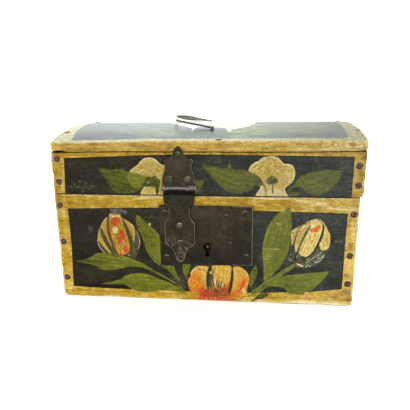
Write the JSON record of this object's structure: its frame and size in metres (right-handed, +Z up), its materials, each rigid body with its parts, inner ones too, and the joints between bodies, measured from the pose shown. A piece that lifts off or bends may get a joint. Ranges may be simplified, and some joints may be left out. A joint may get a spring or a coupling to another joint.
{
  "type": "dowry chest",
  "caption": "Small painted marriage casket: nailed board case, cambered hinged lid, iron hasp with staple over a lock plate with sliding bolt, swinging bail on the lid.",
  "frame": {"origin": "centre of the underside of the bottom board", "axes": "+X along the length to the right as seen from the hasp side, +Y to the back with the hinges, +Z up"},
  "size_m": [0.3029, 0.1876, 0.1811],
  "materials": {
    "painted_case": "oil paint on beech: blue-black panel, ochre borders, flowers and leaves, worn varnish",
    "painted_lid": "oil paint on beech, varnished, bare inside",
    "bare_beech": "old bare beech, front edge painted",
    "wrought_iron": "dark brown patina, waxed",
    "lock_iron": "plain forged iron, oiled",
    "nail_iron": "rusty brown forged heads"
  },
  "bodies": {
    "case": {"front_board": "painted_case", "back_board": "painted_case", "left_end_board": "painted_case", "right_end_board": "painted_case", "bottom_board": "bare_beech", "front_corner_nails": "nail_iron", "back_corner_nails": "nail_iron", "bottom_nails": "nail_iron", "lock_plate": "wrought_iron", "lock_plate_nails": "wrought_iron", "lock_rivets": "wrought_iron", "lock_case": "lock_iron", "key_pin": "lock_iron", "bolt_guides": "lock_iron", "bolt_spring": "lock_iron", "left_hinge_staple": "wrought_iron", "right_hinge_staple": "wrought_iron"},
    "bolt": {"lock_bolt": "lock_iron"},
    "lid": {"lid_top_board": "painted_lid", "lid_front_rail": "painted_lid", "lid_back_rail": "painted_lid", "lid_left_end": "painted_lid", "lid_right_end": "painted_lid", "lid_top_nails": "nail_iron", "lid_front_nails": "nail_iron", "lid_back_nails": "nail_iron", "hasp_hinge_plate": "wrought_iron", "hasp_plate_nails": "wrought_iron", "hasp_hinge_pin": "wrought_iron", "left_hinge_strap": "wrought_iron", "right_hinge_strap": "wrought_iron", "hinge_strap_nails": "wrought_iron", "handle_eye_front": "wrought_iron", "handle_eye_back": "wrought_iron"},
    "hasp": {"hasp_strap": "wrought_iron", "hasp_staple": "wrought_iron"},
    "handle": {"bail_handle": "wrought_iron"}
  },
  "joints": [
    {"name": "lid_open", "type": "hinge", "parent": "case", "child": "lid", "pos_m": [0, 0.0914, 0.1112], "axis": [-1, 0, 0], "range_deg": [0, 110]},
    {"name": "hasp_swing", "type": "hinge", "parent": "lid", "child": "hasp", "pos_m": [-0.022, -0.0897, 0.1188], "axis": [-1, 0, 0], "range_deg": [0, 150]},
    {"name": "handle_swing", "type": "hinge", "parent": "lid", "child": "handle", "pos_m": [0.00165, 0.002, 0.1725], "axis": [-0.1108, 0.9938, -0.0041], "range_deg": [0, 163]},
    {"name": "bolt_slide", "type": "slide", "parent": "case", "child": "bolt", "axis": [-1, 0, 0], "range_m": [0, 0.0085]}
  ]
}
